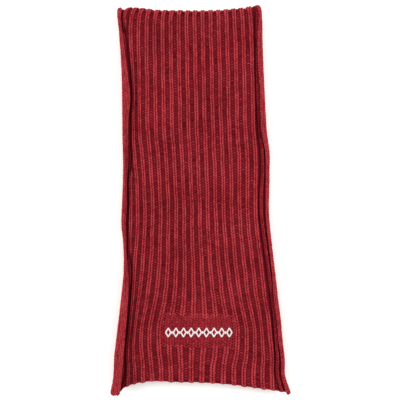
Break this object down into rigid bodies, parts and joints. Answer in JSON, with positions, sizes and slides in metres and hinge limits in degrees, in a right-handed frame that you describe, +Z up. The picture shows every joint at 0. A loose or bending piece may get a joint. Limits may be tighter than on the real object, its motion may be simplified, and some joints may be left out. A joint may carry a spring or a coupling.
{
  "type": "knit scarf",
  "caption": "Chunky ribbed knit scarf, folded twice and laid flat, with curled side edges, a plain-knit patch near the hem and its hidden layers underneath.",
  "frame": {"origin": "on the surface that the scarf rests on, in the middle of the folded scarf", "axes": "+Z up; +Y along the ribs, from the hem towards the first fold; +X across the ribs, to the right when seen from above with the fold at the top"},
  "size_m": [0.2359, 0.5043, 0.0291],
  "materials": {
    "knit_red": "brick red wool, matt and slightly hairy",
    "knit_red_shaded": "the same wool on the hidden layers, matt",
    "embroidery_white": "white satin-stitch embroidery thread, slightly glossy along its strands"
  },
  "bodies": {
    "root": {"front_leaf": "knit_red", "hidden_layers": "knit_red_shaded"}
  },
  "joints": []
}
